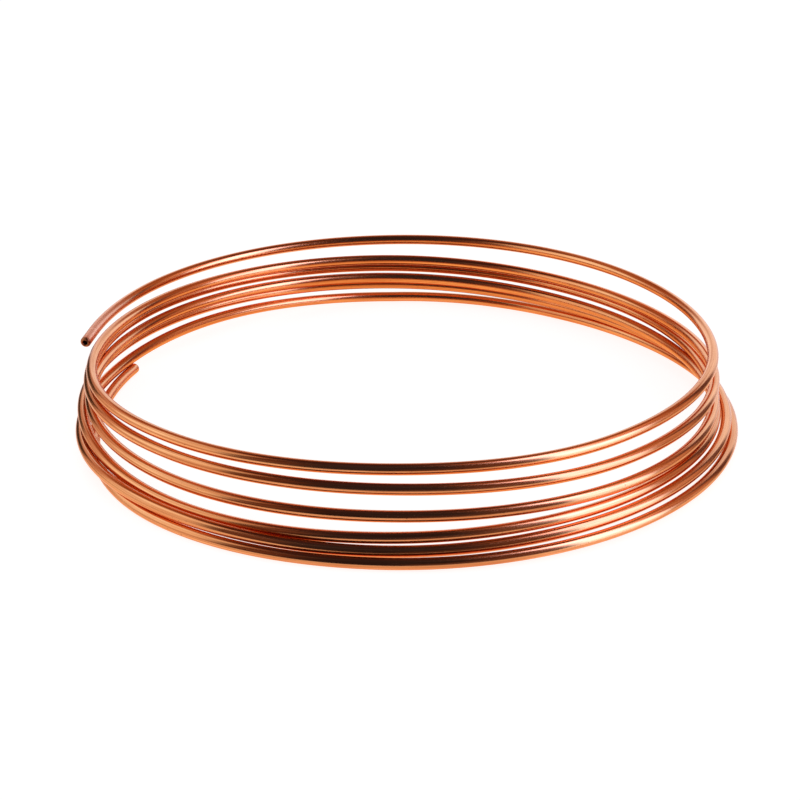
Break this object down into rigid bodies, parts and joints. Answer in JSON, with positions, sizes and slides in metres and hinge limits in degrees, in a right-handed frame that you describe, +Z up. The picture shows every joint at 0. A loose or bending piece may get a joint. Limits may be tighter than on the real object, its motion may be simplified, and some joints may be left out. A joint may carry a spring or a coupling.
{
  "type": "copper tube coil",
  "caption": "Loose flat-lying coil of bare round copper tube, its turns sprung apart and both ends cut square and open; stock to be straightened, bent and joined.",
  "frame": {"origin": "centre of the bounding box, on the floor the coil lies on", "axes": "+Z up, along the coil's axis; the open top end is on the -X side and points to -Y; the turns go clockwise seen from above on the way down"},
  "size_m": [0.3656, 0.371, 0.0444],
  "materials": {
    "copper": "bright drawn copper, lightly streaked along the tube"
  },
  "bodies": {
    "root": {"copper_tube": "copper"}
  },
  "joints": []
}
